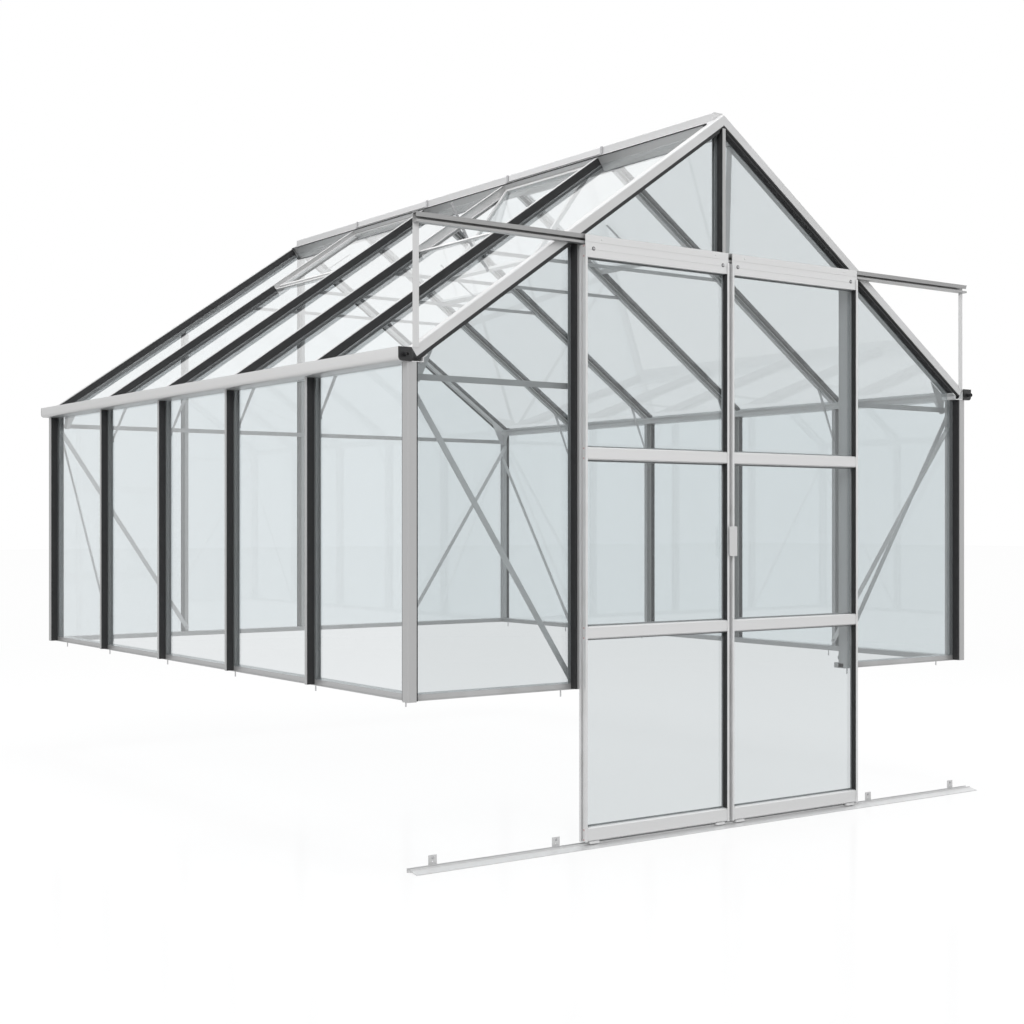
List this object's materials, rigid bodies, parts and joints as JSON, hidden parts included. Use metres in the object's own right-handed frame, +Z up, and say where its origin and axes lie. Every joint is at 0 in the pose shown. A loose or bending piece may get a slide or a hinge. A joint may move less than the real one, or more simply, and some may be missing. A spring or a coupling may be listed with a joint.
{
  "type": "glass greenhouse",
  "caption": "Glass greenhouse for a low wall: aluminium glazing bars, pitched roof with hinged vents, eaves gutters, and doors that slide on a top track and a bottom rail.",
  "frame": {"origin": "middle of the underside of the rear gable's sill", "axes": "+Z up, +X to the right of someone who faces the doors, +Y from the doors to the rear gable"},
  "size_m": [2.712, 3.306, 2.543],
  "materials": {
    "frame": "mill aluminium, fine extrusion lines",
    "glass": "clear toughened, faint blue-green",
    "glazing_strip": "matt black",
    "bolt_steel": "zinc plated",
    "handle": "satin"
  },
  "bodies": {
    "house": {"anchor_bolts": "bolt_steel", "bottom_rail": "frame", "collar_ties": "frame", "corner_gussets": "frame", "corner_posts": "frame", "door_header": "frame", "door_jambs": "frame", "door_track": "frame", "front_gable_bar": "frame", "front_gable_glass": "glass", "front_rafters": "frame", "front_sills": "frame", "gable_braces": "frame", "gable_strips": "glazing_strip", "gable_ties": "frame", "gutter_caps": "frame", "gutters": "frame", "knee_braces": "frame", "left_roof_bars": "frame", "left_roof_glass": "glass", "left_wall_bars": "frame", "left_wall_glass": "glass", "rail_tabs": "frame", "rear_gable_bars": "frame", "rear_gable_glass": "glass", "rear_rafters": "frame", "rear_sill": "frame", "ridge_beam": "frame", "right_roof_bars": "frame", "right_roof_glass": "glass", "right_wall_bars": "frame", "right_wall_glass": "glass", "roof_brace": "frame", "roof_strips": "glazing_strip", "side_sills": "frame", "slam_bars": "frame", "track_stays": "frame", "vent_frames": "frame", "vent_glass": "glass", "vent_stays": "frame", "wall_braces": "frame", "wall_strips": "glazing_strip"},
    "left_door": {"left_door_frame": "frame", "left_door_glass": "glass", "left_door_guides": "frame", "left_door_hanger": "frame", "left_door_strips": "glazing_strip"},
    "right_door": {"right_door_frame": "frame", "right_door_glass": "glass", "right_door_guides": "frame", "right_door_hanger": "frame", "right_door_strips": "glazing_strip", "door_handle": "handle"}
  },
  "joints": [
    {"name": "left_door_slide", "type": "slide", "parent": "house", "child": "left_door", "axis": [-1, 0, 0], "range_m": [0, 0.64]},
    {"name": "right_door_slide", "type": "slide", "parent": "house", "child": "right_door", "axis": [1, 0, 0], "range_m": [0, 0.64]}
  ]
}
